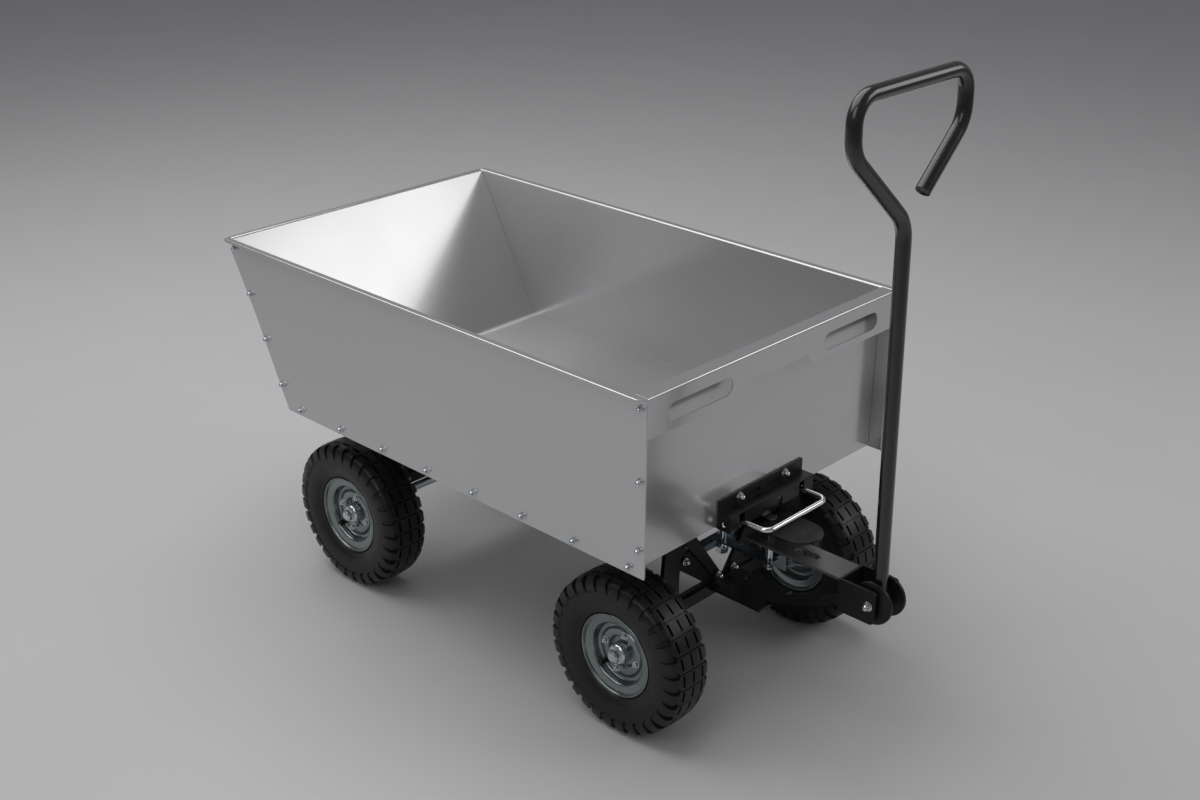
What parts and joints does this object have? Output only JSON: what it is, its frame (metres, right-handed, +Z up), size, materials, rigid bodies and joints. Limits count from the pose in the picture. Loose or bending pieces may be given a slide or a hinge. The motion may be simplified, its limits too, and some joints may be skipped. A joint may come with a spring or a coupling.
{
  "type": "garden dump cart",
  "caption": "Four-wheel steel dump cart: a galvanised sheet tub that tips backwards on a black steel frame, steered by a tall pull handle with an open loop grip.",
  "frame": {"origin": "on the ground, under the centre of the whole object's box", "axes": "+Z up, +Y towards the tub's rear (the tipping end), +X to the right seen from the handle end"},
  "size_m": [0.598, 1.19, 1.0085],
  "materials": {
    "galvanised": "satin galvanised sheet with a soft mottled sheen",
    "black_paint": "semi-gloss black powder coat",
    "light_grey_paint": "light grey satin coat",
    "zinc": "bright zinc plating",
    "rim_zinc": "bluish zinc plated pressing",
    "chrome_wire": "polished wire",
    "tyre": "matt black rubber with a block tread"
  },
  "bodies": {
    "frame": {"frame_rail_left": "black_paint", "frame_rail_right": "black_paint", "frame_cross_front": "black_paint", "frame_cross_middle": "black_paint", "frame_cross_rear": "black_paint", "latch_keeper": "black_paint", "turntable_disc": "black_paint", "kingpin": "zinc", "tub_pivot_rod": "zinc", "rear_beam": "black_paint", "rear_truss_left": "black_paint", "rear_truss_right": "black_paint", "rear_axle": "zinc", "rear_axle_clamp_left": "black_paint", "rear_axle_clamp_right": "black_paint"},
    "tub": {"tub_side_left": "galvanised", "tub_side_right": "galvanised", "tub_floor": "galvanised", "tub_front_panel": "galvanised", "tub_hinge_angle_left": "black_paint", "tub_hinge_angle_right": "black_paint", "latch_bracket": "black_paint", "latch_bolt_left": "zinc", "latch_bolt_right": "zinc"},
    "bail": {"latch_bail": "chrome_wire", "latch_pawl": "zinc"},
    "truck": {"front_beam": "black_paint", "front_truss_plate_left": "black_paint", "front_truss_plate_right": "black_paint", "front_truss_strap_left": "black_paint", "front_truss_strap_right": "black_paint", "turntable_plate": "black_paint", "front_stub_axle_left": "zinc", "front_stub_axle_right": "zinc", "lower_plate": "black_paint", "steering_bolt": "zinc", "steering_tee": "zinc", "drawbar_tongue": "light_grey_paint", "drawbar_brace": "black_paint", "drawbar_fork": "black_paint", "fork_bolt": "zinc"},
    "handle": {"handle_rod": "black_paint", "handle_disc_left": "black_paint", "handle_disc_right": "black_paint"},
    "wheel_front_left": {"tyre_front_left": "tyre", "rim_outer_front_left": "rim_zinc", "rim_inner_front_left": "rim_zinc", "hub_front_left": "zinc"},
    "wheel_front_right": {"tyre_front_right": "tyre", "rim_outer_front_right": "rim_zinc", "rim_inner_front_right": "rim_zinc", "hub_front_right": "zinc"},
    "wheel_rear_left": {"tyre_rear_left": "tyre", "rim_outer_rear_left": "rim_zinc", "rim_inner_rear_left": "rim_zinc", "hub_rear_left": "zinc"},
    "wheel_rear_right": {"tyre_rear_right": "tyre", "rim_outer_rear_right": "rim_zinc", "rim_inner_rear_right": "rim_zinc", "hub_rear_right": "zinc"}
  },
  "joints": [
    {"name": "tub_tip", "type": "hinge", "parent": "frame", "child": "tub", "pos_m": [0, 0.387, 0.313], "axis": [-1, 0, 0], "range_deg": [0, 75]},
    {"name": "bail_lift", "type": "hinge", "parent": "tub", "child": "bail", "pos_m": [0, -0.35, 0.325], "axis": [-1, 0, 0], "range_deg": [0, 30]},
    {"name": "steer", "type": "hinge", "parent": "frame", "child": "truck", "pos_m": [0, -0.268, 0.3], "axis": [0, 0, 1], "range_deg": [-35, 35]},
    {"name": "handle_fold", "type": "hinge", "parent": "truck", "child": "handle", "pos_m": [0, -0.562, 0.246], "axis": [1, 0, 0], "range_deg": [0, 100]},
    {"name": "wheel_front_left_spin", "type": "hinge", "parent": "truck", "child": "wheel_front_left", "pos_m": [-0.215, -0.268, 0.13], "axis": [1, 0, 0], "continuous": true},
    {"name": "wheel_front_right_spin", "type": "hinge", "parent": "truck", "child": "wheel_front_right", "pos_m": [0.215, -0.268, 0.13], "axis": [1, 0, 0], "continuous": true},
    {"name": "wheel_rear_left_spin", "type": "hinge", "parent": "frame", "child": "wheel_rear_left", "pos_m": [-0.215, 0.364, 0.13], "axis": [1, 0, 0], "continuous": true},
    {"name": "wheel_rear_right_spin", "type": "hinge", "parent": "frame", "child": "wheel_rear_right", "pos_m": [0.215, 0.364, 0.13], "axis": [1, 0, 0], "continuous": true}
  ]
}
